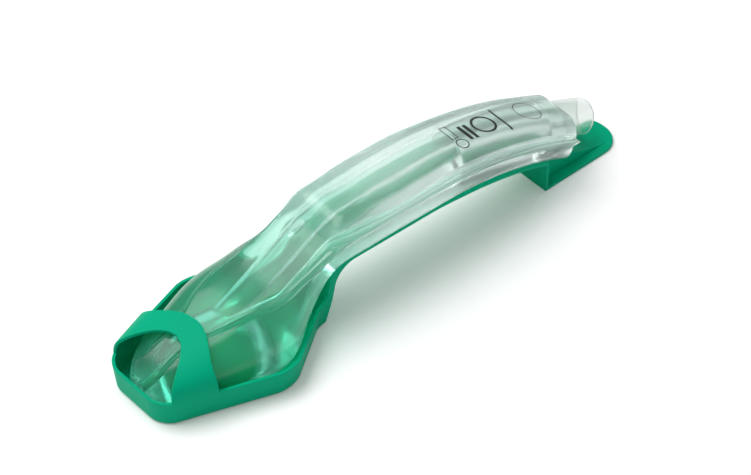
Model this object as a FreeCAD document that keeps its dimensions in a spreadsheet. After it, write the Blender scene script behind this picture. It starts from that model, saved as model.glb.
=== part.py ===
import FreeCAD, Part
import math
import os
import Sketcher

# Supraglottic airway in its moulded cradle, in millimetres.
# The cradle stands on its base with +Z up, and +X runs from the cuff's tip to the connector.
# The origin is on the floor, under the middle of the cradle.

Vector = FreeCAD.Vector
doc = FreeCAD.newDocument("supraglottic_airway")
sheet = doc.addObject("Spreadsheet::Sheet", "sizes")

SIZES = {
    # The cradle. Its tray follows the cuff, and its strip follows the stem.
    "cradle_wall": 1.4,
    "rim_height": 11.8,
    "nose_half": 16.5,
    "nose_radius": 10.8,
    "tray_room": 8.2,
    "tray_radius": 15.0,
    "neck_before": 10.6,
    "neck_radius": 8.0,
    "riser_before": 7.4,
    "riser_lean": 12.3,
    "cheek_depth": 2.0,
    "cheek_round": 5.0,
    # The strip that carries the stem, by the height of its upper face.
    "strip_half": 14.2,
    "strip_height": 28.3,
    "strip_round": 6.5,
    "arch_round": 10.0,
    "level_length": 45.0,
    "bend_radius": 155.0,
    "strip_fall": 24.0,
    "taper_after": 15.0,
    # The foot under the connector end.
    "wall_before": 30.94,
    "foot_half": 12.4,
    "foot_end_half": 10.9,
    "foot_radius": 10.3,
    "foot_plate": 1.5,
    "plate_reach": 12.86,
    "wedge_half": 7.6,
    "ramp_round": 30.0,
    # The strap over the cuff's tip.
    "strap_front": 21.6,
    "strap_front_foot": 5.2,
    "strap_back": 31.2,
    "strap_back_foot": 22.4,
    "strap_pitch": 8.5,
    # The soft body.
    "seat_gap": 0.3,
    "cuff_start": 3.2,
    "cuff_length": 86.8,
    "cuff_half": 25.5,
    "cuff_height": 27.6,
    "stem_half": 16.0,
    "stem_end_half": 14.9,
    "stem_height": 21.0,
    "stem_end_height": 18.0,
    "stem_overhang": 8.3,
    "tab_side": 13.5,
    "tab_length": 4.7,
    "tab_height": 3.9,
    "tab_thick": 1.4,
    "airway_bore": 12.0,
    "airway_side": 3.2,
    "gastric_bore": 4.4,
    "gastric_side": 10.6,
    "bowl_from_tip": 34.8,
    "bowl_length": 44.0,
    "bowl_width": 29.0,
    "bowl_depth": 13.0,
    # The rigid connector and its bite block.
    "cone_end": 15.2,
    "cone_taper": 40.0,
    "cone_length": 22.5,
    "connector_bore": 12.2,
    "block_outer": 14.6,
    "block_gap": 0.1,
    "block_reach": 56.0,
    "collar_outer": 16.8,
}
for row, (alias, value) in enumerate(SIZES.items(), start=1):
    sheet.set(f"A{row}", alias)
    sheet.set(f"B{row}", str(value))
    sheet.setAlias(f"B{row}", alias)
doc.recompute()


def size(alias):
    """A driving dimension, read from the sheet."""
    return float(getattr(sheet, alias))


def number(text):
    """The present value of an expression on the sheet's cells."""
    value = sheet.evalExpression(text)
    return float(getattr(value, "Value", value))


def bound(text):
    """The same expression as another object of the document reads it."""
    return " ".join(f"sizes.{word}" if word in SIZES else word for word in text.split())


# The strip's line. Its upper face is level, bends down on a large radius and falls straight.
# A corner of its profile lies where the level and the falling lines meet.

# The level run starts where the cuff ends.

WIDEST_SHARE = 0.56
CUFF_TO = "( cuff_start + cuff_length )"
WIDEST = f"( cuff_start + cuff_length * {WIDEST_SHARE} )"
RISER_FOOT = f"( {CUFF_TO} - riser_before )"
BEND_START = f"( {CUFF_TO} + level_length )"
FALL = "tan( strip_fall * 1 deg )"
BEND_CORNER = f"( {BEND_START} + bend_radius * tan( strip_fall * 0.5 deg ) )"
HALF_TURN = "tan( strip_fall * 0.5 deg )"
LEAN = "tan( riser_lean * 1 deg )"
STRIP_LOW = "( strip_height - cradle_wall )"
LOW_CORNER = f"( {BEND_CORNER} - cradle_wall * {HALF_TURN} )"
RISER_TOP = f"( {RISER_FOOT} + {LEAN} * {STRIP_LOW} )"
RISER_INNER = f"( {RISER_FOOT} - cradle_wall / cos( riser_lean * 1 deg ) )"
RAMP_FOOT = f"( {BEND_CORNER} + ( strip_height - foot_plate ) / {FALL} )"
CROSS_WALL = f"( {RAMP_FOOT} - wall_before )"
WALL_BACK = f"( {CROSS_WALL} + cradle_wall )"
RAMP_END = f"( {RAMP_FOOT} + ramp_round * {HALF_TURN} + foot_plate )"
LENGTH = f"( {RAMP_FOOT} + plate_reach )"


# Profiles: each corner is an (along, across, radius) triple of expressions on the sheet.
# A place along the cradle is moved by half its length, which puts the origin in the middle.

def draw(sketch, corners):
    """Draws a closed outline, with every corner and radius bound to the sheet."""
    points = [Vector(number(along), number(across), 0) for along, across, radius in corners]
    count = len(points)
    for i in range(count):
        sketch.addGeometry(Part.LineSegment(points[i], points[(i + 1) % count]), False)
        for side, place in (("X", points[i].x), ("Y", points[i].y)):
            index = sketch.addConstraint(Sketcher.Constraint("Distance" + side, -1, 1, i, 1, place))
            sketch.renameConstraint(index, f"corner_{i}_{side}")
    for i in range(count):
        sketch.addConstraint(Sketcher.Constraint("Coincident", i, 2, (i + 1) % count, 1))
    for i, (along, across, radius) in enumerate(corners):
        sketch.setExpression(f"Constraints.corner_{i}_X", bound(along))
        sketch.setExpression(f"Constraints.corner_{i}_Y", bound(across))
    for i, (along, across, radius) in enumerate(corners):
        if radius is None:
            continue
        arc = len(sketch.Geometry)
        sketch.fillet(i, 1, number(radius), True, True)
        index = sketch.addConstraint(Sketcher.Constraint("Radius", arc, number(radius)))
        sketch.renameConstraint(index, f"radius_{i}")
        sketch.setExpression(f"Constraints.radius_{i}", bound(radius))
    doc.recompute()


def profile(name, corners, upright=False):
    """An outline of its own, lying flat or standing in the plane of symmetry."""
    sketch = doc.addObject("Sketcher::SketchObject", name)
    turn = FreeCAD.Rotation(Vector(1, 0, 0), 90 if upright else 0)
    sketch.Placement = FreeCAD.Placement(Vector(0, 0, 0), turn)
    sketch.setExpression("Placement.Base.x", bound(f"0 - {LENGTH} / 2"))
    draw(sketch, corners)
    return sketch


def mirrored(corners):
    """Corners on one side of the plane of symmetry, and the same ones back on the other side."""
    other = [(along, f"0 - ( {across} )", radius) for along, across, radius in reversed(corners)]
    return corners + other


def extrusion(name, base, height, start=None):
    """A prism from a flat profile, from the floor or another height."""
    prism = doc.addObject("Part::Extrusion", name)
    prism.Base = base
    prism.DirMode = "Custom"
    prism.Dir = Vector(0, 0, 1)
    prism.Solid = True
    prism.setExpression("LengthFwd", bound(height))
    if start is not None:
        prism.setExpression("Placement.Base.z", bound(start))
    return prism


def wide_extrusion(name, base, half):
    """A prism from an upright profile, as far to each side of the plane of symmetry."""
    prism = doc.addObject("Part::Extrusion", name)
    prism.Base = base
    prism.DirMode = "Custom"
    prism.Dir = Vector(0, 1, 0)
    prism.Solid = True
    prism.setExpression("LengthFwd", bound(half))
    prism.setExpression("LengthRev", bound(half))
    return prism


def boolean(kind, name, first, second):
    """A cut or common of two objects."""
    result = doc.addObject("Part::" + kind, name)
    result.Base = first
    result.Tool = second
    return result


def fall_height(along, corner, top):
    """The height of a falling line at a place along the cradle."""
    return f"( {top} - ( {along} - {corner} ) * {FALL} )"


def cradle_plan():
    """The outline of tray and strip, seen from above."""
    return profile("cradle_plan", mirrored([
        ("0 * 1", "nose_half", "nose_radius"),
        (WIDEST, "cuff_half + tray_room", "tray_radius"),
        (f"( {CUFF_TO} - neck_before )", "strip_half", "neck_radius"),
        (f"( {BEND_START} + taper_after )", "strip_half", None),
        (WALL_BACK, "foot_half", None),
    ]))


def cradle_side():
    """Tray, riser and strip from the side, filled up to the tray's rim."""
    low_end = f"( {LOW_CORNER} + {STRIP_LOW} / {FALL} )"
    top_end = f"( {BEND_CORNER} + strip_height / {FALL} )"
    return profile("cradle_side", [
        ("0 * 1", "0 * 1", None),
        (RISER_FOOT, "0 * 1", None),
        (RISER_TOP, STRIP_LOW, "arch_round"),
        (LOW_CORNER, STRIP_LOW, "bend_radius - cradle_wall"),
        (low_end, "0 * 1", None),
        (top_end, "0 * 1", None),
        (BEND_CORNER, "strip_height", "bend_radius"),
        (f"( {RISER_INNER} + {LEAN} * strip_height - cheek_depth )", "strip_height", "strip_round"),
        (f"( {RISER_INNER} + {LEAN} * rim_height - cheek_depth )", "rim_height", "cheek_round"),
        ("0 * 1", "rim_height", None),
    ], upright=True)


def cavity_side():
    """The tray's hollow from the side, above its floor and in front of the riser."""
    above = "( strip_height + rim_height )"
    return profile("cavity_side", [
        ("0 * 1", "cradle_wall", None),
        (f"( {RISER_INNER} + {LEAN} * cradle_wall )", "cradle_wall", "cradle_wall"),
        (f"( {RISER_INNER} + {LEAN} * strip_height )", "strip_height", "strip_round"),
        (BEND_CORNER, "strip_height", None),
        (BEND_CORNER, above, None),
        ("0 * 1", above, None),
    ], upright=True)


def tray_and_strip():
    """The open tray, the riser and the strip, as one shell."""
    plan = cradle_plan()
    inner = doc.addObject("Part::Offset2D", "cavity_plan")
    inner.Source = plan
    inner.Join = "Intersection"
    inner.setExpression("Value", bound("0 - cradle_wall"))
    tall = "strip_height * 2"
    outside = boolean("Common", "tray_outside",
                      extrusion("cradle_prism", plan, tall),
                      wide_extrusion("cradle_slice", cradle_side(), "cuff_half * 2"))
    inside = boolean("Common", "tray_inside",
                     extrusion("cavity_prism", inner, tall),
                     wide_extrusion("cavity_slice", cavity_side(), "cuff_half * 2"))
    return boolean("Cut", "tray_shell", outside, inside)


def foot():
    """The foot: a plate on the floor, a wall across the strip and a hollow ramp down to the plate."""
    plate = extrusion("foot_plate_solid", profile("foot_plan", mirrored([
        (CROSS_WALL, "foot_half", None),
        (LENGTH, "foot_end_half", "foot_radius"),
    ])), "foot_plate")
    wall = wide_extrusion("cross_wall", profile("cross_wall_side", [
        (CROSS_WALL, "0 * 1", None),
        (WALL_BACK, "0 * 1", None),
        (WALL_BACK, fall_height(WALL_BACK, BEND_CORNER, "strip_height"), None),
        (CROSS_WALL, fall_height(WALL_BACK, BEND_CORNER, "strip_height"), None),
    ], upright=True), "foot_half")
    ramp = wide_extrusion("ramp", profile("ramp_side", [
        (CROSS_WALL, "0 * 1", None),
        (RAMP_END, "0 * 1", None),
        (RAMP_END, "foot_plate", None),
        (RAMP_FOOT, "foot_plate", "ramp_round"),
        (CROSS_WALL, fall_height(CROSS_WALL, BEND_CORNER, "strip_height"), None),
    ], upright=True), "wedge_half")
    low_end = f"( {LOW_CORNER} + {STRIP_LOW} / {FALL} )"
    hollow = wide_extrusion("ramp_hollow", profile("hollow_side", [
        (WALL_BACK, "0 * 1", None),
        (low_end, "0 * 1", None),
        (WALL_BACK, fall_height(WALL_BACK, LOW_CORNER, STRIP_LOW), None),
    ], upright=True), "wedge_half - cradle_wall")
    solid = doc.addObject("Part::MultiFuse", "foot_solid")
    solid.Shapes = [plate, wall, ramp]
    return boolean("Cut", "foot_shell", solid, hollow)


# Places that the soft body, the strap and the connector share.

SEAT = size("cradle_wall") + size("seat_gap")
START_X = 0 - number(LENGTH) / 2
FLARE = (size("cuff_half") + size("tray_room") - size("nose_half")) / number(WIDEST)
FALL_ANGLE = math.radians(size("strip_fall"))
AXIS_RISE = size("seat_gap") + size("stem_end_height") / 2
BOWL_X = START_X + size("cuff_start") + size("bowl_from_tip")
CUFF_END = START_X + number(CUFF_TO)
BEND_X = CUFF_END + size("level_length")

# The cuff's sections: how far along the cuff, its half width, its top and its underside.
# Width is a share of the cuff's half width. Top and underside are shares of its height.
CUFF = (
    (0.000, 0.20, 0.320, 0.100),
    (0.055, 0.43, 0.475, 0.025),
    (0.147, 0.64, 0.640, 0.000),
    (0.240, 0.76, 0.735, 0.000),
    (0.325, 0.85, 0.805, 0.000),
    (0.435, 0.95, 0.920, 0.000),
    (WIDEST_SHARE, 1.00, 1.000, 0.000),
)
UNDER_STRAP = 4

# The neck's sections: how far along, and how much of the way from the cuff's size to the stem's.
# The three shares are for the half width, the top and the underside.
NECK = (
    (0.654, 0.15, 0.07, 0.08),
    (0.735, 0.50, 0.17, 0.35),
    (0.827, 0.86, 0.30, 0.63),
    (0.908, 0.98, 0.47, 0.89),
    (0.960, 1.00, 0.62, 0.98),
)

# The level stem's sections: how far from the neck to the bend, and the share of its full height.
STEM = (
    (0.00, 0.80),
    (0.20, 0.90),
    (0.45, 0.98),
    (0.75, 1.00),
    (1.00, 0.99),
)
BEND_STEPS = 4
ARCH_STEPS = 12
FRONT_POWER = 1.6
BACK_POWER = 0.95
BOWL_ENTRY = 0.25
BOWL_ENTRY_RISE = 0.6
ARCH_POWER = 2.5
CUFF_CORNERS = (0.62, 0.26)
STEM_CORNERS = (0.40, 0.18)
END_CORNERS = (0.47, 0.30)

# The channel to the tip: how far along the cuff, share of its side offset, share of the height.
GASTRIC = (
    (0.70, 0.92, 0.70),
    (0.46, 0.66, 0.66),
    (0.22, 0.26, 0.49),
    (-0.08, 0.00, 0.16),
)


def between(first, second, share):
    return first + (second - first) * share


def tan(degrees):
    return math.tan(math.radians(degrees))


def curve(points):
    """A smooth edge through the points."""
    spline = Part.BSplineCurve()
    spline.interpolate(points)
    return spline.toShape()


def closed(edge):
    """A face inside an open edge and the straight line between its ends."""
    first = edge.valueAt(edge.FirstParameter)
    last = edge.valueAt(edge.LastParameter)
    return Part.Wire([edge, Part.LineSegment(last, first).toShape()])


def feature(name, shape):
    """A sub-part from a finished shape."""
    part = doc.addObject("Part::Feature", name)
    part.Shape = shape
    return part


# The strap over the cuff's tip.

def strap_arch(along, inset):
    """A full-shouldered arch from wall to wall over the cuff's tip."""
    half = size("nose_half") + FLARE * along - inset * math.hypot(1, FLARE)
    under = SEAT + size("cuff_height") * CUFF[UNDER_STRAP][2] + size("seat_gap")
    crown = under + size("cradle_wall") - inset
    crown += tan(size("strap_pitch")) * (along - size("strap_back"))
    base = size("rim_height")
    points = []
    for step in range(ARCH_STEPS + 1):
        angle = math.pi * step / ARCH_STEPS
        across = abs(math.cos(angle)) ** (2 / ARCH_POWER)
        rise = math.sin(angle) ** (2 / ARCH_POWER) if 0 < step < ARCH_STEPS else 0
        side = half * math.copysign(across, math.cos(angle))
        points.append(Vector(START_X + along, side, base + (crown - base) * rise))
    return closed(curve(points))


def strap_cut(crown, foot_x, power):
    """The region behind an edge of the strap, which leans forward from the crown to each wall."""
    foot_y = size("nose_half") + FLARE * foot_x
    half = size("cuff_half") + size("tray_room")
    points = []
    for step in range(-ARCH_STEPS, ARCH_STEPS + 1):
        across = half * step / ARCH_STEPS
        lean = (abs(across) / foot_y) ** power
        points.append(Vector(START_X + crown - (crown - foot_x) * lean, across, 0))
    edge = curve(points)
    far = 0 - START_X
    corners = [points[-1], Vector(far, half, 0), Vector(far, -half, 0), points[0]]
    wire = Part.Wire([edge] + Part.makePolygon(corners).Edges)
    return Part.Face(wire).extrude(Vector(0, 0, size("strip_height") * 2))


def strap():
    """A thin arch over the tip, flush with the walls and open in front and behind."""
    reach = number(WIDEST)
    outer = Part.makeLoft([strap_arch(0, 0), strap_arch(reach, 0)], True, True)
    wall = size("cradle_wall")
    inner = Part.makeLoft([strap_arch(0, wall), strap_arch(reach, wall)], True, True)
    front = strap_cut(size("strap_front"), size("strap_front_foot"), FRONT_POWER)
    back = strap_cut(size("strap_back"), size("strap_back_foot"), BACK_POWER)
    arch = feature("strap_arch", outer.cut(inner).common(front).cut(back))
    return boolean("Common", "strap", arch, doc.getObject("cradle_prism"))


# The soft body.

def rounded_section(base, tilt, half, height, top_radius, low_radius):
    """A rounded section that stands on its base point, tilted with the stem."""
    up = Vector(math.sin(tilt), 0, math.cos(tilt))
    side = Vector(0, 1, 0)
    diagonal = math.sqrt(0.5)

    def at(across, rise):
        return base + side * across + up * rise

    def corner(sign, rise, radius, way):
        """The three points of one corner, from its flank to the top or the underside."""
        centre = at(sign * (half - radius), rise - way * radius)
        flank = centre + side * sign * radius
        middle = centre + (side * sign + up * way) * radius * diagonal
        end = centre + up * way * radius
        return [flank, middle, end]

    low_right = corner(1, 0, low_radius, -1)
    top_right = corner(1, height, top_radius, 1)
    low_left = corner(-1, 0, low_radius, -1)
    top_left = corner(-1, height, top_radius, 1)
    edges = [
        Part.LineSegment(low_left[2], low_right[2]).toShape(),
        Part.Arc(low_right[2], low_right[1], low_right[0]).toShape(),
        Part.LineSegment(low_right[0], top_right[0]).toShape(),
        Part.Arc(top_right[0], top_right[1], top_right[2]).toShape(),
        Part.LineSegment(top_right[2], top_left[2]).toShape(),
        Part.Arc(top_left[2], top_left[1], top_left[0]).toShape(),
        Part.LineSegment(top_left[0], low_left[0]).toShape(),
        Part.Arc(low_left[0], low_left[1], low_left[2]).toShape(),
    ]
    return Part.Wire(edges)


def strip_point(angle, rise):
    """A point above the strip's upper face, at an angle of its bend."""
    radius = size("bend_radius")
    x = BEND_X + (radius + rise) * math.sin(angle)
    z = size("strip_height") - radius + (radius + rise) * math.cos(angle)
    return Vector(x, 0, z)


def strip_direction(angle):
    """The way along the strip towards the connector, at an angle of its bend."""
    return Vector(math.cos(angle), 0, -math.sin(angle))


def upright_section(x, low, top, half, corners):
    height = top - low
    top_share, low_share = corners
    return rounded_section(Vector(x, 0, low), 0, half, height, height * top_share, height * low_share)


def body_sections():
    """All sections of the soft body, from the cuff's tip to the stem's end."""
    sections = []
    start = START_X + size("cuff_start")
    height = size("cuff_height")
    stem_low = size("strip_height") + size("seat_gap")
    for along, width, top, low in CUFF:
        x = start + size("cuff_length") * along
        half = size("cuff_half") * width
        sections.append(upright_section(x, SEAT + height * low, SEAT + height * top, half, CUFF_CORNERS))
    for along, width, top, low in NECK:
        x = start + size("cuff_length") * along
        half = between(size("cuff_half"), size("stem_half"), width)
        top_z = between(SEAT + height, stem_low + size("stem_height"), top)
        low_z = between(SEAT, stem_low, low)
        corners = [between(CUFF_CORNERS[i], STEM_CORNERS[i], width) for i in range(2)]
        sections.append(upright_section(x, low_z, top_z, half, corners))
    for along, share in STEM:
        x = between(CUFF_END, BEND_X, along)
        top_z = stem_low + size("stem_height") * share
        sections.append(upright_section(x, stem_low, top_z, size("stem_half"), STEM_CORNERS))
    for step in range(1, BEND_STEPS + 1):
        angle = FALL_ANGLE * step / BEND_STEPS
        sections.append(stem_section(strip_point(angle, size("seat_gap")), angle, step / BEND_STEPS))
    run = strip_direction(FALL_ANGLE) * size("stem_overhang")
    end = strip_point(FALL_ANGLE, size("seat_gap")) + run
    sections.append(stem_section(end, FALL_ANGLE, 1))
    return sections


def stem_section(base, angle, share):
    """A section of the stem where it bends and tapers towards its end."""
    height = between(size("stem_height") * STEM[-1][1], size("stem_end_height"), math.sqrt(share))
    half = between(size("stem_half"), size("stem_end_half"), share)
    top_share = between(STEM_CORNERS[0], END_CORNERS[0], share)
    low_share = between(STEM_CORNERS[1], END_CORNERS[1], share)
    return rounded_section(base, angle, half, height, height * top_share, height * low_share)


def rounded_path(points, radii):
    """Straight runs joined by tangent arcs, one radius for each inner point."""
    edges = []
    start = points[0]
    for before, corner, after, radius in zip(points, points[1:], points[2:], radii):
        back = (before - corner).normalize()
        onward = (after - corner).normalize()
        half_open = back.getAngle(onward) / 2
        reach = radius / math.tan(half_open)
        enter = corner + back * reach
        leave = corner + onward * reach
        bisector = (back + onward).normalize()
        middle = corner + bisector * (radius / math.sin(half_open) - radius)
        edges.append(Part.LineSegment(start, enter).toShape())
        edges.append(Part.Arc(enter, middle, leave).toShape())
        start = leave
    edges.append(Part.LineSegment(start, points[-1]).toShape())
    return Part.Wire(edges)


def tube(path, radius):
    """A round tube along a path."""
    first = path.Edges[0]
    ring = Part.Circle(first.valueAt(first.FirstParameter), first.tangentAt(first.FirstParameter), radius)
    return path.makePipeShell([Part.Wire([ring.toShape()])], True, False)


def stem_end(rise, side):
    """A point of the stem's end face, above the strip's line and to one side."""
    run = strip_direction(FALL_ANGLE) * size("stem_overhang")
    return strip_point(FALL_ANGLE, rise) + run + Vector(0, side, 0)


def channel_path(rise, side, before_neck, neck_radius, past_end):
    """A channel's path: from beyond the stem's end, round the bend and down through the neck."""
    beyond = stem_end(rise, side) + strip_direction(FALL_ANGLE) * past_end
    corner_x = BEND_X + (size("bend_radius") + rise) * math.tan(FALL_ANGLE / 2)
    corner = Vector(corner_x, side, size("strip_height") + rise)
    neck = Vector(CUFF_END, side, size("strip_height") + rise)
    points = [beyond, corner, neck] + before_neck
    radii = [size("bend_radius") + rise, neck_radius] + [size("stem_half")] * (len(before_neck) - 1)
    return rounded_path(points, radii)


def airway_path():
    """The breathing channel: through the stem and down into the bowl."""
    end_x = BOWL_X + size("bowl_length") * BOWL_ENTRY
    end = Vector(end_x, size("airway_side"), SEAT + size("bowl_depth") * BOWL_ENTRY_RISE)
    return channel_path(AXIS_RISE, size("airway_side"), [end], size("cuff_half"), size("stem_overhang"))


def gastric_path():
    """The gastric channel: beside the airway, then over the bowl to the tip."""
    side = 0 - size("gastric_side")
    height = size("cuff_height")
    length = size("cuff_length")
    start = START_X + size("cuff_start")
    points = []
    for along, share, rise in GASTRIC:
        points.append(Vector(start + length * along, side * share, SEAT + height * rise))
    return channel_path(AXIS_RISE, side, points, size("cuff_half"), size("stem_overhang"))


def bowl():
    """The hollow that faces down, as half of an ellipsoid."""
    ball = Part.makeSphere(1)
    stretch = FreeCAD.Matrix()
    stretch.scale(size("bowl_length") / 2, size("bowl_width") / 2, size("bowl_depth"))
    hollow = ball.transformGeometry(stretch)
    hollow.translate(Vector(BOWL_X, 0, SEAT))
    return hollow


def block_space():
    """The room for the connector's collar and bite block inside the stem."""
    gap = size("block_gap")
    centre = stem_end(AXIS_RISE, size("airway_side"))
    inward = strip_direction(FALL_ANGLE) * -1
    collar = Part.makeCylinder(size("collar_outer") / 2 + gap, size("stem_overhang") + gap, centre, inward)
    sleeve = tube(block_path(size("block_reach") + gap), size("block_outer") / 2 + gap)
    return collar.fuse(sleeve)


def block_path(reach):
    """The line of the bite block, from the stem's end round a part of the bend."""
    side = Vector(0, size("airway_side"), 0)
    angle = (reach - size("stem_overhang")) / (size("bend_radius") + AXIS_RISE)
    start = stem_end(AXIS_RISE, size("airway_side"))
    bend = strip_point(FALL_ANGLE, AXIS_RISE) + side
    middle = strip_point(FALL_ANGLE - angle / 2, AXIS_RISE) + side
    end = strip_point(FALL_ANGLE - angle, AXIS_RISE) + side
    return Part.Wire([Part.LineSegment(start, bend).toShape(), Part.Arc(bend, middle, end).toShape()])


def end_tab():
    """A small pointed tab that stands out of the stem's end, beside the outlet of the gastric channel."""
    out = strip_direction(FALL_ANGLE)
    side = 0 - size("tab_side") - size("tab_thick") / 2
    top = stem_end(AXIS_RISE + size("tab_height") / 2, side)
    low = stem_end(AXIS_RISE - size("tab_height") / 2, side)
    root = out * size("tab_thick") * -1
    tip = stem_end(AXIS_RISE, side) + out * size("tab_length")
    outline = Part.makePolygon([top + root, top, tip, low, low + root, top + root])
    return Part.Face(outline).extrude(Vector(0, size("tab_thick"), 0))


def airway_body():
    """The clear soft body: cuff, neck and stem, with its two channels and its bowl."""
    solid = Part.makeLoft(body_sections(), True, False).fuse(end_tab())
    solid = solid.cut(bowl())
    solid = solid.cut(tube(airway_path(), size("airway_bore") / 2))
    solid = solid.cut(tube(gastric_path(), size("gastric_bore") / 2))
    solid = solid.cut(block_space())
    return feature("airway_body", solid)


# The rigid connector. Its own X axis runs out of the stem, and its origin is on the stem's end face.

def plane(body, role):
    """One of a body's own planes."""
    return next(item for item in body.Origin.OriginFeatures if item.Role == role)


def body_sketch(body, name, role, corners):
    """An outline on one of a body's own planes."""
    sketch = body.newObject("Sketcher::SketchObject", name)
    sketch.AttachmentSupport = (plane(body, role), [""])
    sketch.MapMode = "FlatFace"
    draw(sketch, corners)
    return sketch


def connector():
    """A standard cone, a collar in the stem's end and a bite block inside the stem."""
    body = doc.addObject("PartDesign::Body", "connector")
    rise = "( seat_gap + stem_end_height / 2 )"
    angle = "strip_fall * 1 deg"
    reach = f"( bend_radius + {rise} )"
    body.Placement = FreeCAD.Placement(Vector(0, 0, 0), FreeCAD.Rotation(Vector(0, 1, 0), size("strip_fall")))
    along = f"{BEND_START} - {LENGTH} / 2 + {reach} * sin( {angle} ) + stem_overhang * cos( {angle} )"
    body.setExpression("Placement.Base.x", bound(along))
    body.setExpression("Placement.Base.y", bound("airway_side"))
    height = f"strip_height - bend_radius + {reach} * cos( {angle} ) - stem_overhang * sin( {angle} )"
    body.setExpression("Placement.Base.z", bound(height))

    half_section = body_sketch(body, "cone_section", "XZ_Plane", [
        ("0 - stem_overhang", "connector_bore / 2", None),
        ("0 - stem_overhang", "collar_outer / 2", None),
        ("0 * 1", "collar_outer / 2", None),
        ("0 * 1", "( cone_end + cone_length / cone_taper ) / 2", None),
        ("cone_length", "cone_end / 2", None),
        ("cone_length", "connector_bore / 2", None),
    ])
    cone = body.newObject("PartDesign::Revolution", "cone")
    cone.Profile = half_section
    cone.ReferenceAxis = (half_section, ["H_Axis"])
    cone.Angle = 360
    doc.recompute()

    ring = body.newObject("Sketcher::SketchObject", "block_ring")
    ring.AttachmentSupport = (plane(body, "YZ_Plane"), [""])
    ring.MapMode = "FlatFace"
    ring.setExpression("AttachmentOffset.Base.z", bound("0 - stem_overhang"))
    for name, diameter in (("inner", "connector_bore"), ("outer", "block_outer")):
        circle = ring.addGeometry(Part.Circle(Vector(0, 0, 0), Vector(0, 0, 1), size(diameter) / 2), False)
        ring.addConstraint(Sketcher.Constraint("Coincident", circle, 3, -1, 1))
        index = ring.addConstraint(Sketcher.Constraint("Diameter", circle, size(diameter)))
        ring.renameConstraint(index, name)
        ring.setExpression(f"Constraints.{name}", bound(diameter))
    low = number(f"0 - {reach}")
    axis = Part.LineSegment(Vector(-size("block_outer"), low, 0), Vector(size("block_outer"), low, 0))
    line = ring.addGeometry(axis, True)
    for name, end, way in (("left", 1, "0 - block_outer"), ("right", 2, "block_outer")):
        index = ring.addConstraint(Sketcher.Constraint("DistanceX", -1, 1, line, end, number(way + " * 1")))
        ring.renameConstraint(index, f"axis_{name}_X")
        ring.setExpression(f"Constraints.axis_{name}_X", bound(way + " * 1"))
        index = ring.addConstraint(Sketcher.Constraint("DistanceY", -1, 1, line, end, low))
        ring.renameConstraint(index, f"axis_{name}_Y")
        ring.setExpression(f"Constraints.axis_{name}_Y", bound(f"0 - {reach}"))
    doc.recompute()
    block = body.newObject("PartDesign::Revolution", "bite_block")
    block.Profile = ring
    block.ReferenceAxis = (ring, ["Axis0"])
    block.Reversed = True
    block.setExpression("Angle", bound(f"( block_reach - stem_overhang ) / {reach} * 1 rad"))
    doc.recompute()

    body.Tip = block
    return body


def cradle():
    """The whole cradle, moulded in one piece."""
    piece = doc.addObject("Part::MultiFuse", "cradle")
    piece.Shapes = [tray_and_strip(), strap(), foot()]
    return piece


os.makedirs("parts", exist_ok=True)
pieces = {"cradle": cradle(), "airway_body": airway_body(), "connector": connector()}
doc.recompute()
for item in doc.Objects:
    if "Invalid" in item.State or "Error" in item.State:
        raise SystemExit(f"{item.Name} did not build")
for node, piece in pieces.items():
    piece.Label = node
    if piece.Shape.isNull() or not piece.Shape.isValid():
        raise SystemExit(f"{node} has no valid shape")
    piece.Shape.exportStep(f"parts/{node}.step")
    print(node, len(piece.Shape.Solids), round(piece.Shape.Volume, 1), piece.Shape.optimalBoundingBox())
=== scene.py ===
import bpy
import bmesh
import math
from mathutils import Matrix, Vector


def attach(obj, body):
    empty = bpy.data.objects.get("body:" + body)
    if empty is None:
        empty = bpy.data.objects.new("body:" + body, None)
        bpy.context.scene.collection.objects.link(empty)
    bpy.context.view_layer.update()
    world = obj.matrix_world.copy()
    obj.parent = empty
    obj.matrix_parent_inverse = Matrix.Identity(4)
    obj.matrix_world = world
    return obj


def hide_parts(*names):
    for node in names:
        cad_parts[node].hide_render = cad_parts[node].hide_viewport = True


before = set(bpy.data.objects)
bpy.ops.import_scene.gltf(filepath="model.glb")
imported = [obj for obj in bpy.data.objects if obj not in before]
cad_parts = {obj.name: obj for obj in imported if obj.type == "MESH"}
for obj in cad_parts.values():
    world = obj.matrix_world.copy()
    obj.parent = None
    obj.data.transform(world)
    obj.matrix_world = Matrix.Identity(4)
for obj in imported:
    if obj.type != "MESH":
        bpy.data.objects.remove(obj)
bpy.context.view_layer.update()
bpy.ops.object.select_all(action="DESELECT")

# Sizes are in millimetres, and MM turns them into metres. The nose's tip lies at NOSE.

MM = 0.001
NOSE = -120.5


# Modelling

def place(x, y, z):
    """A place in metres, from millimetres with x counted from the tip of the cradle's nose."""
    return Vector((x + NOSE, y, z)) * MM


def pick(kind, test):
    """Selects the vertices, edges or faces whose middle passes a test, and no others."""
    mesh = bpy.context.edit_object.data
    form = bmesh.from_edit_mesh(mesh)
    bpy.ops.mesh.select_mode(type=kind)
    bpy.ops.mesh.select_all(action="DESELECT")
    for item in {"VERT": form.verts, "EDGE": form.edges, "FACE": form.faces}[kind]:
        corners = [item] if kind == "VERT" else item.verts
        middle = sum((corner.co for corner in corners), Vector()) / len(corners)
        if test(middle / MM - Vector((NOSE, 0, 0)), item):
            item.select_set(True)
    bmesh.update_edit_mesh(mesh)


def finish_edit():
    """Merges what coincides, turns the faces outwards and leaves edit mode."""
    bpy.ops.mesh.select_all(action="SELECT")
    bpy.ops.mesh.remove_doubles(threshold=0.005 * MM)
    bpy.ops.mesh.normals_make_consistent(inside=False)
    bpy.ops.mesh.select_all(action="DESELECT")
    bpy.ops.object.mode_set(mode="OBJECT")


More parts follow.
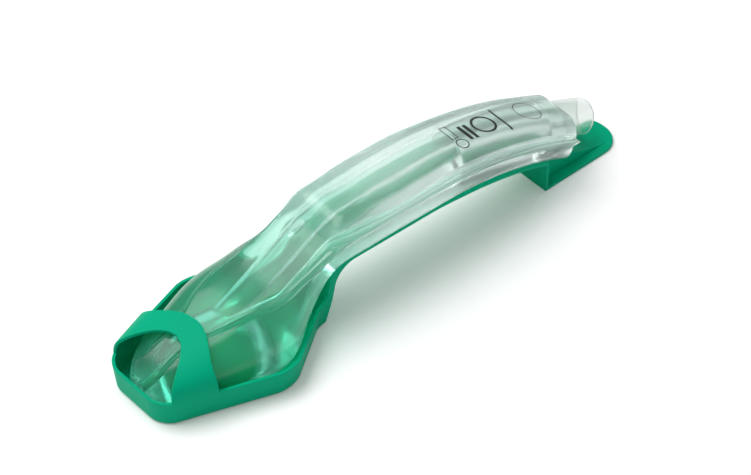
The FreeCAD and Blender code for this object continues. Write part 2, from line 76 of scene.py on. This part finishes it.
def draw(name, corners, fill=True):
    """Drags one vertex from corner to corner, fills the loop and rounds the corners that have a radius."""
    points = [place(x, y, z) for x, y, z, radius in corners]
    bpy.ops.mesh.primitive_plane_add(size=MM, location=points[0])
    piece = bpy.context.object
    piece.name = name
    bpy.ops.object.transform_apply(location=True, rotation=True, scale=True)
    bpy.ops.object.mode_set(mode="EDIT")
    bpy.ops.mesh.select_mode(type="VERT")
    bpy.ops.mesh.select_all(action="SELECT")
    bpy.ops.mesh.merge(type="CENTER")
    for last, corner in zip(points, points[1:]):
        bpy.ops.mesh.extrude_vertices_move(TRANSFORM_OT_translate={"value": corner - last})
    if not fill:
        return piece
    bpy.ops.mesh.select_all(action="SELECT")
    bpy.ops.mesh.edge_face_add()
    for i, (x, y, z, radius) in enumerate(corners):
        if radius:
            turn = (points[i] - points[i - 1]).angle(points[(i + 1) % len(points)] - points[i])
            here = Vector((x, y, z))
            pick("VERT", lambda middle, vert: (middle - here).length < 0.01)
            degrees = 2 if radius > 50 else 7
            steps = max(3, round(math.degrees(turn) / degrees))
            cut = radius * MM * math.tan(turn / 2)
            bpy.ops.mesh.bevel(offset=cut, affect="VERTICES", segments=steps)
    return piece


def thicken(reach):
    """Extrudes the whole outline by a distance in millimetres, and leaves edit mode."""
    pick("FACE", lambda middle, face: True)
    bpy.ops.mesh.extrude_region_move(TRANSFORM_OT_translate={"value": Vector(reach) * MM})
    finish_edit()


def take(piece):
    """Makes a piece the only one that is selected, and the active one."""
    bpy.ops.object.select_all(action="DESELECT")
    piece.select_set(True)
    bpy.context.view_layer.objects.active = piece


def combine(piece, other, operation):
    """Cuts, keeps or adds what another closed form covers, and drops that form."""
    take(piece)
    bpy.ops.object.modifier_add(type="BOOLEAN")
    change = piece.modifiers[-1]
    change.operation = operation
    change.object = other
    change.solver = "EXACT"
    bpy.ops.object.modifier_apply(modifier=change.name)
    bpy.data.objects.remove(other)


def ease_edges(piece, width):
    """Rounds the sharp edges, as a mould leaves them."""
    take(piece)
    bpy.ops.object.mode_set(mode="EDIT")
    bpy.ops.mesh.select_all(action="SELECT")
    bpy.ops.mesh.remove_doubles(threshold=0.02 * MM)
    bpy.ops.mesh.dissolve_limited(angle_limit=math.radians(0.5))
    bpy.ops.mesh.select_all(action="DESELECT")
    bpy.ops.object.mode_set(mode="OBJECT")
    bpy.ops.object.modifier_add(type="BEVEL")
    change = piece.modifiers[-1]
    change.width = width * MM
    change.segments = 2
    change.limit_method = "ANGLE"
    change.angle_limit = math.radians(35)
    change.use_clamp_overlap = False
    bpy.ops.object.modifier_apply(modifier=change.name)


# The cradle. Places along it count from the tip of its nose.

WALL = 1.4
RIM = 11.8
DRAFT = 1.3
NOSE_HALF = 16.5
NOSE_ROUND = 10.8
NOSE_ROUND_END = 7.4
WIDEST = (51.8, 33.7)
FLARE = (WIDEST[1] - NOSE_HALF) / WIDEST[0]
BLOCK = 30

# The strip under the stem is level at TOP and then bends down to a fall of 24 degrees.
# Its upper and lower faces would meet the floor at FLOOR_OVER and FLOOR_UNDER.

HALF = 14.2
END_HALF = 12.4
TOP = 28.3
FALL = math.tan(math.radians(24))
BEND = 167.95
STRIP_RADIUS = 155
FLOOR_OVER = 231.51
FLOOR_UNDER = 228.07
LEAN = math.tan(math.radians(12.3))
RISER = 82.6
INNER = RISER - WALL / math.cos(math.radians(12.3))

# The foot.

WALL_BACK = 198.6
CROSS_WALL = WALL_BACK - WALL
LENGTH = 241.0
PLATE = 1.5
PLATE_HALF = 10.9
PLATE_ROUND = 10.3
RAMP_HALF = 7.6
RAMP_INNER = 6.2


def plan(name, z):
    """The outline of the tray and the strip, seen from above."""
    near = [
        (0, -NOSE_HALF, z, NOSE_ROUND),
        (WIDEST[0], -WIDEST[1], z, 15),
        (79.4, -HALF, z, 8),
        (150, -HALF, z, None),
        (WALL_BACK, -END_HALF, z, None),
    ]
    far = [(x, -y, z, radius) for x, y, z, radius in reversed(near)]
    return draw(name, near + far)


def prism(name, low, inset, round_low):
    """A block over the plan, with drafted walls below the rim and a rounded foot."""
    piece = plan(name, RIM)
    if inset:
        pick("FACE", lambda middle, face: True)
        bpy.ops.mesh.inset(thickness=inset * MM)
        bpy.ops.mesh.select_all(action="INVERT")
        bpy.ops.mesh.delete(type="FACE")
    pick("FACE", lambda middle, face: True)
    bpy.ops.mesh.extrude_region_move(TRANSFORM_OT_translate={"value": (0, 0, BLOCK * MM)})
    pick("FACE", lambda middle, face: abs(middle.z - RIM) < 0.01 and len(face.verts) > 12)
    bpy.ops.mesh.inset(thickness=DRAFT * (RIM - low) / RIM * MM)
    bpy.ops.transform.translate(value=(0, 0, (low - RIM) * MM))
    pick("EDGE", lambda middle, edge: max(v.co.z for v in edge.verts) < (low + 0.01) * MM)
    bpy.ops.mesh.bevel(offset=round_low * MM, segments=4, affect="EDGES")
    finish_edit()
    return piece


def side_slice(name, corners):
    """A block that is wider than the tray, behind an outline seen from the side."""
    piece = draw(name, [(x, -45, z, radius) for x, z, radius in corners])
    thicken((0, 90, 0))
    return piece


def tray_and_strip():
    """The tray, the riser behind it and the strip, as one shell. The hollow cuts the riser back by 2 mm."""
    outside = prism("cradle_moulding", 0, 0, 1.6)
    combine(outside, side_slice("outer_side", [
        (-1, 0, None),
        (RISER, 0, 1.6),
        (RISER + LEAN * (TOP - WALL), TOP - WALL, 10),
        (BEND - WALL * math.tan(math.radians(12)), TOP - WALL, STRIP_RADIUS - WALL),
        (FLOOR_UNDER, 0, None),
        (FLOOR_OVER, 0, None),
        (BEND, TOP, STRIP_RADIUS),
        (INNER + LEAN * TOP - 2, TOP, 6.5),
        (INNER + LEAN * RIM - 2, RIM, 5),
        (-1, RIM, None),
    ]), "INTERSECT")
    inside = prism("hollow", WALL, WALL, 1.0)
    combine(inside, side_slice("inner_side", [
        (-1, 0, None),
        (INNER + LEAN * WALL, 0, None),
        (INNER + LEAN * TOP, TOP + 0.02, 6.5),
        (130, TOP + 0.05, None),
        (130, 45, None),
        (-1, 45, None),
    ]), "INTERSECT")
    combine(outside, inside, "DIFFERENCE")
    return outside


# The strap's two edges at the wall, and how far each draws back from there to the crown.

STRAP_FRONT = 5.2
FRONT_DRAW = 16.4
STRAP_BACK = 22.4
BACK_DRAW = 9.1
CROWN_X = 31.2
CROWN_Z = 25.6
CROWN_SLOPE = math.tan(math.radians(8.5))
ARCH_POWER = 0.75
STRAP_STEPS = 40
STRAP_WAYS = (0, 0.12, 0.3, 0.55, 0.8, 1)
STRAP_ROOT = 3.0


def side_of(x):
    """How far the tray's wall stands out to one side at its rim."""
    if x >= NOSE_ROUND_END:
        return NOSE_HALF + FLARE * x
    centre = NOSE_HALF + FLARE * NOSE_ROUND - NOSE_ROUND * math.hypot(1, FLARE)
    return centre + math.sqrt(NOSE_ROUND ** 2 - (NOSE_ROUND - x) ** 2)


def strap_line(way):
    """One line over the strap, from its front edge (0) to its back edge (1)."""
    points = []
    for step in range(STRAP_STEPS + 1):
        angle = math.pi * step / STRAP_STEPS
        share = abs(math.cos(angle)) ** ARCH_POWER
        rise = math.sin(angle) ** ARCH_POWER if 0 < step < STRAP_STEPS else 0
        bell = (1 + math.cos(math.pi * share)) / 2
        front = STRAP_FRONT + FRONT_DRAW * (0.6 * bell + 0.4 * (1 - share ** 1.5))
        back = STRAP_BACK + BACK_DRAW * bell
        x = front + (back - front) * way
        y = side_of(x) * math.copysign(share, math.cos(angle))
        crown = CROWN_Z + CROWN_SLOPE * (x - CROWN_X)
        points.append((x, y, RIM + (crown - RIM) * rise, None))
    return points


def strap():
    """The strap over the cuff's tip: a band bridged between arched lines, with roots in the tray's wall."""
    lines = []
    for way in STRAP_WAYS:
        lines.append(draw("strap", strap_line(way), fill=False))
        bpy.ops.object.mode_set(mode="OBJECT")
    for line in lines:
        line.select_set(True)
    bpy.ops.object.join()
    band = bpy.context.object
    bpy.ops.object.mode_set(mode="EDIT")
    bpy.ops.mesh.select_all(action="SELECT")
    bpy.ops.mesh.bridge_edge_loops()
    pick("EDGE", lambda middle, edge: abs(middle.z - RIM) < 0.01 and edge.is_boundary)
    bpy.ops.mesh.extrude_edges_move(TRANSFORM_OT_translate={"value": (0, 0, -STRAP_ROOT * MM)})
    bpy.ops.transform.resize(value=(1, 0.985, 1), center_override=(0, 0, 0))
    finish_edit()
    take(band)
    bpy.ops.object.modifier_add(type="SOLIDIFY")
    wall = band.modifiers[-1]
    wall.thickness = WALL * MM
    wall.offset = -1
    bpy.ops.object.modifier_apply(modifier=wall.name)
    ease_edges(band, 0.3)
    return band


def strip_height(x):
    """The height of the strip's upper face where it falls."""
    return TOP - (x - BEND) * FALL


def foot():
    """A plate, a wall across the strip and a hollow ramp. Steps of 0.01 to 0.03 mm keep their faces apart."""
    plate = draw("foot_plate", [
        (CROSS_WALL + 0.02, -END_HALF, 0, None),
        (LENGTH, -PLATE_HALF, 0, PLATE_ROUND),
        (LENGTH, PLATE_HALF, 0, PLATE_ROUND),
        (CROSS_WALL + 0.02, END_HALF, 0, None),
    ])
    thicken((0, 0, PLATE))
    ease_edges(plate, 0.25)
    height = strip_height(WALL_BACK) - 0.03
    middle = place((CROSS_WALL + WALL_BACK) / 2, 0, height / 2)
    bpy.ops.mesh.primitive_cube_add(size=MM, location=middle, scale=(WALL, 2 * END_HALF, height))
    wall = bpy.context.object
    bpy.ops.object.transform_apply(location=True, rotation=True, scale=True)
    ease_edges(wall, 0.25)
    ramp_foot = BEND + (TOP - PLATE) / FALL
    ramp = draw("ramp", [
        (CROSS_WALL + 0.01, -RAMP_HALF, 0.01, None),
        (ramp_foot + 6, -RAMP_HALF, 0.01, None),
        (ramp_foot + 6, -RAMP_HALF, PLATE + 0.02, None),
        (ramp_foot, -RAMP_HALF, PLATE + 0.02, 30),
        (CROSS_WALL + 0.01, -RAMP_HALF, strip_height(CROSS_WALL) - 0.03, None),
    ])
    thicken((0, 2 * RAMP_HALF, 0))
    roof = WALL / math.cos(math.atan(FALL))
    hollow = draw("ramp_hollow", [
        (WALL_BACK, -RAMP_INNER, -1, None),
        (FLOOR_UNDER, -RAMP_INNER, -1, None),
        (FLOOR_UNDER, -RAMP_INNER, 0, None),
        (WALL_BACK, -RAMP_INNER, strip_height(WALL_BACK) - roof, None),
    ])
    thicken((0, 2 * RAMP_INNER, 0))
    combine(plate, wall, "UNION")
    combine(plate, ramp, "UNION")
    combine(plate, hollow, "DIFFERENCE")
    return plate


def cradle():
    """The whole cradle, moulded in one piece: curved faces shaded smooth, broad ones flat."""
    piece = tray_and_strip()
    ease_edges(piece, 0.3)
    combine(piece, strap(), "UNION")
    combine(piece, foot(), "UNION")
    take(piece)
    bpy.ops.object.shade_smooth_by_angle(angle=math.radians(30))
    bpy.ops.object.modifier_add(type="WEIGHTED_NORMAL")
    change = piece.modifiers[-1]
    change.weight = 100
    change.keep_sharp = True
    bpy.ops.object.modifier_apply(modifier=change.name)
    return piece


# The rigid connector, turned round the x axis with its collar's face at 0 and then set on the stem's end.

STEM_END = (88.909, 3.2, 20.020)
STEM_RADIUS = 164.3
BLOCK_TURN = 47.7 / STEM_RADIUS
BORE = 6.1
CONE_END = 22.0
COLLAR_END = -8.3
SLEEVE = (7.3, 6.9, 6.5, BORE)
LIP = [(22.3, 6.2), (22.5, 6.5), (22.5, 7.2), (22.35, 7.5), (CONE_END, 7.61)]
COLLAR = [(0.05, 7.88), (0.0, 7.95), (0.0, 8.25), (-0.2, 8.4), (COLLAR_END, 8.4), (COLLAR_END, SLEEVE[0])]


def connector():
    """The cone, its collar and the bite block, turned as one skin and bent round the stem's curve."""
    start = (CONE_END * MM, 0, 0)
    across = (0, math.pi / 2, 0)
    bpy.ops.mesh.primitive_circle_add(vertices=72, radius=BORE * MM, location=start, rotation=across)
    piece = bpy.context.object
    piece.name = "connector_turned"
    bpy.ops.object.transform_apply(location=True, rotation=True, scale=True)
    bpy.ops.object.mode_set(mode="EDIT")
    bpy.ops.mesh.select_all(action="SELECT")
    last_x, last_radius = CONE_END, BORE
    for x, radius in LIP + COLLAR:
        bpy.ops.mesh.extrude_edges_move(TRANSFORM_OT_translate={"value": ((x - last_x) * MM, 0, 0)})
        size = radius / last_radius
        bpy.ops.transform.resize(value=(1, size, size), center_override=(0, 0, 0))
        last_x, last_radius = x, radius
    centre = (COLLAR_END * MM, 0, -STEM_RADIUS * MM)
    bpy.ops.mesh.spin(steps=14, angle=BLOCK_TURN, center=centre, axis=(0, 1, 0))
    back = COLLAR_END - STEM_RADIUS * math.sin(BLOCK_TURN)
    drop = STEM_RADIUS * (1 - math.cos(BLOCK_TURN))
    block_end = Vector((back, 0, -drop)) * MM
    for wide, narrow in zip(SLEEVE, SLEEVE[1:]):
        size = narrow / wide
        bpy.ops.mesh.extrude_edges_move(TRANSFORM_OT_translate={"value": (0, 0, 0)})
        bpy.ops.transform.resize(value=(size, size, size), center_override=block_end)
    bpy.ops.mesh.spin(steps=14, angle=BLOCK_TURN, center=centre, axis=(0, -1, 0))
    length = (CONE_END - COLLAR_END) * MM
    bpy.ops.mesh.extrude_edges_move(TRANSFORM_OT_translate={"value": (length, 0, 0)})
    finish_edit()
    piece.rotation_euler = (0, math.radians(24), 0)
    piece.location = Vector(STEM_END) * MM
    bpy.ops.object.transform_apply(location=True, rotation=True, scale=True)
    bpy.ops.object.shade_smooth_by_angle(angle=math.radians(40))
    return piece


# Materials

def linear(hex_colour):
    """An sRGB hex colour as the linear one that the shader wants."""
    values = [int(hex_colour[i:i + 2], 16) / 255 for i in (1, 3, 5)]
    return tuple(v / 12.92 if v <= 0.04045 else ((v + 0.055) / 1.055) ** 2.4 for v in values) + (1.0,)


def node(tree, kind, settings):
    """Adds a shader node and gives back its outputs. An input may take a value or another node's output."""
    made = tree.nodes.new(kind)
    for name, value in settings.items():
        if not (isinstance(name, int) or name in made.inputs):
            setattr(made, name, value)
        elif isinstance(value, bpy.types.NodeSocket):
            tree.links.new(value, made.inputs[name])
        else:
            made.inputs[name].default_value = value
    return made.outputs


def material(name):
    """A new material, with its tree and its main shader."""
    made = bpy.data.materials.new(name)
    made.use_nodes = True
    return made, made.node_tree, made.node_tree.nodes["Principled BSDF"]


def let_lamps_through(tree, skin, tint):
    """Lets half of a lamp's light reach what lies inside or behind a clear plastic, as a real one does."""
    lamp = node(tree, "ShaderNodeLightPath", {})["Is Shadow Ray"]
    share = node(tree, "ShaderNodeMath", {"operation": "MULTIPLY", 0: lamp, 1: 0.5})[0]
    clear = node(tree, "ShaderNodeBsdfTransparent", {"Color": linear(tint)})[0]
    surface = node(tree, "ShaderNodeMixShader", {0: share, 1: skin.outputs["BSDF"], 2: clear})[0]
    tree.links.new(surface, tree.nodes["Material Output"].inputs["Surface"])


def moulded_green():
    """Polypropylene from a spark-eroded mould: a satin skin of fine grain.
    Its tone and gloss change slowly where the melt flowed."""
    made, tree, skin = material("injection moulded polypropylene, spark-eroded mould")
    skin.inputs["Specular IOR Level"].default_value = 0.05
    skin.inputs["IOR"].default_value = 1.49
    where = node(tree, "ShaderNodeTexCoord", {})["Object"]

    # Clouds 40 mm long change the tone and the gloss. Grain of 0.4 mm stands 0.01 mm high.
    flow = node(tree, "ShaderNodeTexNoise", {"Vector": where, "Scale": 1 / (40 * MM), "Detail": 2.0})["Fac"]
    tone = node(tree, "ShaderNodeMix", {
        "data_type": "RGBA",
        0: flow,
        6: linear("#00A279"),
        7: linear("#00AD82"),
    })[2]
    gloss = node(tree, "ShaderNodeMapRange", {"Value": flow, "To Min": 0.38, "To Max": 0.48})[0]
    grain = node(tree, "ShaderNodeTexNoise", {"Vector": where, "Scale": 1 / (0.4 * MM), "Detail": 2.0})["Fac"]
    relief = node(tree, "ShaderNodeBump", {"Height": grain, "Distance": 0.01 * MM})[0]
    tree.links.new(tone, skin.inputs["Base Color"])
    tree.links.new(gloss, skin.inputs["Roughness"])
    tree.links.new(relief, skin.inputs["Normal"])
    return made


# The stem's lines follow the strip, which starts to bend at CURVE_START from the middle of the part.

CURVE_START = 14.5
PARTING_RISE = 10.9
INK_RISE = 17.9
INK_RADIUS = 173.0

# Half the ridge's distance between its two sides, as a share of 20 mm, at places along its course.

RIDGE_SPREAD = 20
RIDGE_ENDS = (0.27, 0.76)
RIDGE_COURSE = ((0.06, 0.35), (0.22, 0.55), (0.45, 0.725), (0.65, 0.75), (0.86, 0.735))

# Plain printed marks: place along the stem and across it, size, and half the line's width.

RINGS = [(36.8, -2.3, 4.9, 0.55), (62.2, -1.0, 5.9, 0.2), (20.8, -7.9, 2.5, 0.25)]
BOXES = [
    (20.4, -0.2, 1.5, 4.0, 0.2),
    (26.2, -3.3, 0.4, 4.2, 0.4),
    (28.9, -3.5, 0.4, 4.2, 0.4),
    (45.8, -2.55, 0.25, 6.9, 0.28),
]


def clear_elastomer():
    """Thermoplastic elastomer from a polished mould: a soft gloss over clear walls that cloud a little.
    A parting line and slow flow waves catch the light, and printed marks lie on the stem."""
    made, tree, skin = material("injection moulded clear elastomer, polished mould")
    let_lamps_through(tree, skin, "#E6F0EE")
    skin.inputs["IOR"].default_value = 1.40
    skin.inputs["Specular IOR Level"].default_value = 0.5
    where = node(tree, "ShaderNodeTexCoord", {})["Object"]
    axes = node(tree, "ShaderNodeSeparateXYZ", {"Vector": where})
    beside = node(tree, "ShaderNodeMath", {"operation": "ABSOLUTE", 0: axes["Y"]})[0]

    # Height above the strip's upper line, level at first and then round the strip's bend.
    depth = (STRIP_RADIUS - TOP) * MM
    ahead = node(tree, "ShaderNodeMath", {"operation": "SUBTRACT", 0: axes["X"], 1: CURVE_START * MM})[0]
    past = node(tree, "ShaderNodeMath", {"operation": "MAXIMUM", 0: ahead, 1: 0.0})[0]
    over = node(tree, "ShaderNodeMath", {"operation": "ADD", 0: axes["Z"], 1: depth})[0]
    spoke = node(tree, "ShaderNodeCombineXYZ", {"X": past, "Y": over})[0]
    reach = node(tree, "ShaderNodeVectorMath", {"operation": "LENGTH", 0: spoke})["Value"]
    rise = node(tree, "ShaderNodeMath", {"operation": "SUBTRACT", 0: reach, 1: STRIP_RADIUS * MM})[0]

    # The parting line runs at half the stem's height, on both flanks.
    gap = node(tree, "ShaderNodeMath", {"operation": "SUBTRACT", 0: rise, 1: PARTING_RISE * MM})[0]
    gap = node(tree, "ShaderNodeMath", {"operation": "ABSOLUTE", 0: gap})[0]
    line = node(tree, "ShaderNodeMapRange", {
        "interpolation_type": "SMOOTHSTEP",
        "Value": gap,
        "From Max": 0.6 * MM,
        "To Min": 1.0,
        "To Max": 0.0,
    })[0]
    flank = node(tree, "ShaderNodeMapRange", {"Value": beside, "From Min": 13 * MM, "From Max": 14 * MM})[0]
    stem = node(tree, "ShaderNodeMapRange", {
        "Value": axes["X"],
        "From Min": -40 * MM,
        "From Max": -34 * MM,
    })[0]
    line = node(tree, "ShaderNodeMath", {"operation": "MULTIPLY", 0: line, 1: flank})[0]
    line = node(tree, "ShaderNodeMath", {"operation": "MULTIPLY", 0: line, 1: stem})[0]

    # The stem's edge runs on over the cuff as a rounded ridge, 5 to 15 mm from the middle.
    course = node(tree, "ShaderNodeMapRange", {
        "Value": axes["X"],
        "From Min": -95.3 * MM,
        "From Max": -35.3 * MM,
    })[0]
    ramp = node(tree, "ShaderNodeValToRGB", {"Fac": course})["Color"]
    stops = ramp.node.color_ramp.elements
    for stop, share in zip(stops, RIDGE_ENDS):
        stop.color = (share, share, share, 1)
    for spot, share in RIDGE_COURSE:
        stops.new(spot).color = (share, share, share, 1)
    aside = node(tree, "ShaderNodeMath", {"operation": "MULTIPLY", 0: ramp, 1: RIDGE_SPREAD * MM})[0]
    gap = node(tree, "ShaderNodeMath", {"operation": "SUBTRACT", 0: beside, 1: aside})[0]
    gap = node(tree, "ShaderNodeMath", {"operation": "ABSOLUTE", 0: gap})[0]
    ridge = node(tree, "ShaderNodeMapRange", {
        "interpolation_type": "SMOOTHSTEP",
        "Value": gap,
        "From Max": 1.2 * MM,
        "To Min": 1.0,
        "To Max": 0.0,
    })[0]
    over_cuff = node(tree, "ShaderNodeMapRange", {
        "Value": axes["X"],
        "From Min": -36 * MM,
        "From Max": -32 * MM,
        "To Min": 1.0,
        "To Max": 0.0,
    })[0]
    on_top = node(tree, "ShaderNodeMapRange", {
        "Value": axes["Z"],
        "From Min": 14 * MM,
        "From Max": 19 * MM,
    })[0]
    ridge = node(tree, "ShaderNodeMath", {"operation": "MULTIPLY", 0: ridge, 1: over_cuff})[0]
    ridge = node(tree, "ShaderNodeMath", {"operation": "MULTIPLY", 0: ridge, 1: on_top})[0]

    # The line stands 0.2 mm proud and the ridge 0.5 mm. The waves are 22 mm long and 0.08 mm high.
    waves = node(tree, "ShaderNodeTexNoise", {"Vector": where, "Scale": 1 / (22 * MM), "Detail": 1.0})["Fac"]
    line = node(tree, "ShaderNodeMath", {"operation": "MULTIPLY", 0: line, 1: 0.2 * MM})[0]
    ridge = node(tree, "ShaderNodeMath", {"operation": "MULTIPLY", 0: ridge, 1: 0.5 * MM})[0]
    height = node(tree, "ShaderNodeMath", {"operation": "MULTIPLY_ADD", 0: waves, 1: 0.08 * MM, 2: line})[0]
    height = node(tree, "ShaderNodeMath", {"operation": "ADD", 0: height, 1: ridge})[0]
    relief = node(tree, "ShaderNodeBump", {"Height": height, "Distance": 1.0})[0]
    tree.links.new(relief, skin.inputs["Normal"])

    # The marks, in millimetres over the stem's upper face.
    turn = node(tree, "ShaderNodeMath", {"operation": "ARCTAN2", 0: past, 1: over})[0]
    along = node(tree, "ShaderNodeMath", {"operation": "MULTIPLY", 0: turn, 1: INK_RADIUS})[0]
    across = node(tree, "ShaderNodeMath", {"operation": "DIVIDE", 0: axes["Y"], 1: MM})[0]
    spot = node(tree, "ShaderNodeCombineXYZ", {"X": along, "Y": across})[0]
    marks = []
    for s, y, radius, width in RINGS:
        off = node(tree, "ShaderNodeVectorMath", {"operation": "DISTANCE", 0: spot, 1: (s, y, 0)})["Value"]
        marks.append(node(tree, "ShaderNodeMath", {"operation": "COMPARE", 0: off, 1: radius, 2: width})[0])
    for s, y, half_s, half_y, width in BOXES:
        off = node(tree, "ShaderNodeVectorMath", {"operation": "SUBTRACT", 0: spot, 1: (s, y, 0)})[0]
        off = node(tree, "ShaderNodeVectorMath", {"operation": "ABSOLUTE", 0: off})[0]
        off = node(tree, "ShaderNodeVectorMath", {"operation": "SUBTRACT", 0: off, 1: (half_s, half_y, 0)})[0]
        sides = node(tree, "ShaderNodeSeparateXYZ", {"Vector": off})
        edge = node(tree, "ShaderNodeMath", {"operation": "MAXIMUM", 0: sides["X"], 1: sides["Y"]})[0]
        marks.append(node(tree, "ShaderNodeMath", {"operation": "COMPARE", 0: edge, 1: 0.0, 2: width})[0])
    printed = marks[0]
    for mark in marks[1:]:
        printed = node(tree, "ShaderNodeMath", {"operation": "MAXIMUM", 0: printed, 1: mark})[0]

    # Ink lies on the outside only, and no lumen comes so far above the strip's line.
    outside = node(tree, "ShaderNodeMath", {"operation": "GREATER_THAN", 0: rise, 1: INK_RISE * MM})[0]
    ink = node(tree, "ShaderNodeMath", {"operation": "MULTIPLY", 0: outside, 1: printed})[0]

    # Along the part the tint runs from deep green at the cuff to near white at the stem. Haze changes in
    # patches 11 mm long.
    toward_stem = node(tree, "ShaderNodeMapRange", {"Value": axes["X"], "From Min": -80 * MM, "From Max": 0.0})[0]
    # The cuff's green and its darkness are painted: they stand in for the green tray and its shade seen
    # through the cuff.
    tint = node(tree, "ShaderNodeMix", {
        "data_type": "RGBA",
        0: toward_stem,
        6: linear("#5BDCBC"),
        7: linear("#F1FFFB"),
    })[2]
    tone = node(tree, "ShaderNodeMix", {"data_type": "RGBA", 0: ink, 6: tint, 7: linear("#1D2A27")})[2]
    cloud = node(tree, "ShaderNodeMapRange", {"Value": toward_stem, "To Min": 0.88, "To Max": 0.86})[0]
    clear = node(tree, "ShaderNodeMapRange", {"Value": ink, "To Min": cloud, "To Max": 0.1})[0]
    patches = node(tree, "ShaderNodeTexNoise", {
        "Vector": where,
        "Scale": 1 / (11 * MM),
        "Detail": 2.0,
    })["Fac"]
    haze = node(tree, "ShaderNodeMapRange", {"Value": patches, "To Min": 0.13, "To Max": 0.25})[0]
    tree.links.new(tone, skin.inputs["Base Color"])
    tree.links.new(clear, skin.inputs["Transmission Weight"])
    tree.links.new(haze, skin.inputs["Roughness"])
    return made


def clear_rigid():
    """Polycarbonate from a polished mould: a bright gloss with faint haze from handling.
    Its thick wall sank a little as it cooled, which bends the reflections."""
    made, tree, skin = material("injection moulded polycarbonate, polished mould")
    let_lamps_through(tree, skin, "#E8F2EE")
    skin.inputs["Base Color"].default_value = linear("#F1F7F4")
    skin.inputs["IOR"].default_value = 1.58
    skin.inputs["Transmission Weight"].default_value = 0.96
    where = node(tree, "ShaderNodeTexCoord", {})["Object"]
    patches = node(tree, "ShaderNodeTexNoise", {
        "Vector": where,
        "Scale": 1 / (6.5 * MM),
        "Detail": 3.0,
    })["Fac"]
    haze = node(tree, "ShaderNodeMapRange", {"Value": patches, "To Min": 0.04, "To Max": 0.14})[0]
    sink = node(tree, "ShaderNodeTexNoise", {"Vector": where, "Scale": 1 / (16 * MM), "Detail": 0.0})["Fac"]
    relief = node(tree, "ShaderNodeBump", {"Height": sink, "Distance": 0.04 * MM})[0]
    tree.links.new(haze, skin.inputs["Roughness"])
    tree.links.new(relief, skin.inputs["Normal"])
    return made


# The three pieces

tray = cradle()
tray.data.materials.append(moulded_green())
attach(tray, "root")
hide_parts("cradle")

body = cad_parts["airway_body"]
body.data.materials.clear()
body.data.materials.append(clear_elastomer())

cone = connector()
cone.data.materials.append(clear_rigid())
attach(cone, "root")
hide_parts("connector")


# Floor, light and camera

bpy.ops.mesh.primitive_plane_add(size=8)
floor = bpy.context.object
floor.name = "floor"
paper, tree, skin = material("white paper sweep")
skin.inputs["Base Color"].default_value = linear("#FBFBFB")
skin.inputs["Roughness"].default_value = 0.9
skin.inputs["Specular IOR Level"].default_value = 0.1
skin.inputs["Emission Color"].default_value = linear("#FFFFFF")
seen = node(tree, "ShaderNodeLightPath", {})["Is Camera Ray"]
lift = node(tree, "ShaderNodeMath", {"operation": "MULTIPLY", 0: seen, 1: 0.12})[0]
tree.links.new(lift, skin.inputs["Emission Strength"])
floor.data.materials.append(paper)

world = bpy.data.worlds.new("studio")
bpy.context.scene.world = world
world.use_nodes = True
tree = world.node_tree
sky = tree.nodes["Background"]
sky.inputs["Color"].default_value = linear("#FFFFFF")
ray = node(tree, "ShaderNodeLightPath", {})
seen = node(tree, "ShaderNodeMath", {
    "operation": "ADD",
    0: ray["Is Transmission Ray"],
    1: ray["Is Camera Ray"],
})[0]
level = node(tree, "ShaderNodeMapRange", {"Value": seen, "To Min": 0.40, "To Max": 1.0})[0]
tree.links.new(level, sky.inputs["Strength"])

lamp = bpy.data.lights.new("key", "AREA")
lamp.shape = "RECTANGLE"
lamp.size = 1.3
lamp.size_y = 1.1
lamp.energy = 20
key = bpy.data.objects.new("key", lamp)
bpy.context.scene.collection.objects.link(key)
key.location = (-0.40, 0.55, 1.35)
key.rotation_euler = (Vector((0, 0, 0.02)) - key.location).to_track_quat("-Z", "Y").to_euler()

VIEW_TURN = math.radians(40.6)
VIEW_DOWN = math.radians(43.2)
VIEW_FROM = 1.304
ahead = Vector((math.sin(VIEW_TURN), math.cos(VIEW_TURN), 0)) * math.cos(VIEW_DOWN)
look = ahead - Vector((0, 0, math.sin(VIEW_DOWN)))
camera = bpy.data.objects.new("camera", bpy.data.cameras.new("camera"))
bpy.context.scene.collection.objects.link(camera)
camera.location = Vector((0.0080, 0.0114, 0)) - look * VIEW_FROM
camera.rotation_euler = look.to_track_quat("-Z", "Y").to_euler()
camera.data.sensor_width = 36
camera.data.lens = 159.53
camera.data.clip_end = 20
bpy.context.scene.camera = camera
bpy.context.scene.view_settings.view_transform = "Standard"
